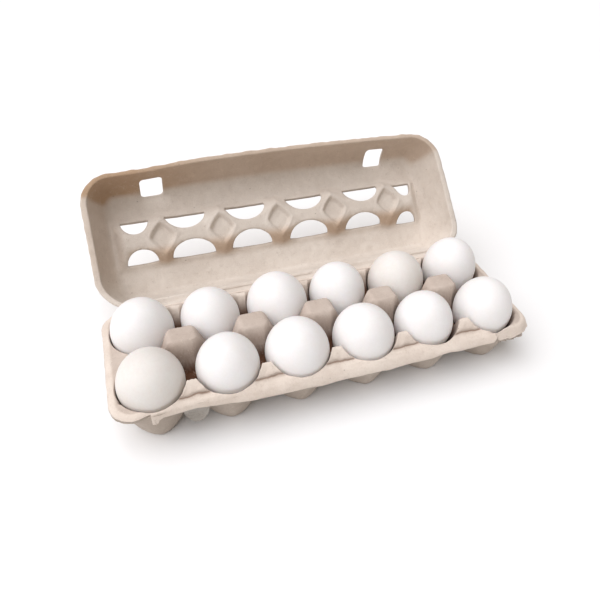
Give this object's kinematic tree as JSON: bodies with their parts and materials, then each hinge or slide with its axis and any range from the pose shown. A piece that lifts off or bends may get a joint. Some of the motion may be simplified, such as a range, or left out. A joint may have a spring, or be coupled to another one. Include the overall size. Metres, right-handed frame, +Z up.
{
  "type": "egg carton with eggs",
  "caption": "Open moulded pulp egg carton with a hinged vented lid, a fold-down lock flap and white eggs standing in its cups.",
  "frame": {"origin": "on the floor, at the centre of the open carton's bounding box", "axes": "+X along the rows of cups, +Y from the lock flap towards the lid's hinge, +Z up"},
  "size_m": [0.3006, 0.1958, 0.1074],
  "materials": {
    "pulp_tray": "matt recycled paper pulp",
    "pulp_lid": "matt recycled paper pulp",
    "pulp_flap": "matt recycled paper pulp",
    "eggshell": "matt white shell"
  },
  "bodies": {
    "tray": {"tray": "pulp_tray", "egg_front_1": "eggshell", "egg_front_2": "eggshell", "egg_front_3": "eggshell", "egg_front_4": "eggshell", "egg_front_5": "eggshell", "egg_front_6": "eggshell", "egg_back_1": "eggshell", "egg_back_2": "eggshell", "egg_back_3": "eggshell", "egg_back_4": "eggshell", "egg_back_5": "eggshell", "egg_back_6": "eggshell"},
    "lid": {"lid": "pulp_lid"},
    "lock_flap": {"lock_flap": "pulp_flap"}
  },
  "joints": [
    {"name": "lid_hinge", "type": "hinge", "parent": "tray", "child": "lid", "pos_m": [0, 0.00545, 0.0354], "axis": [-1, 0, 0], "range_deg": [-138, 42]},
    {"name": "flap_hinge", "type": "hinge", "parent": "tray", "child": "lock_flap", "pos_m": [0, -0.09485, 0.0344], "axis": [-1, 0, 0], "range_deg": [0, 180]}
  ]
}
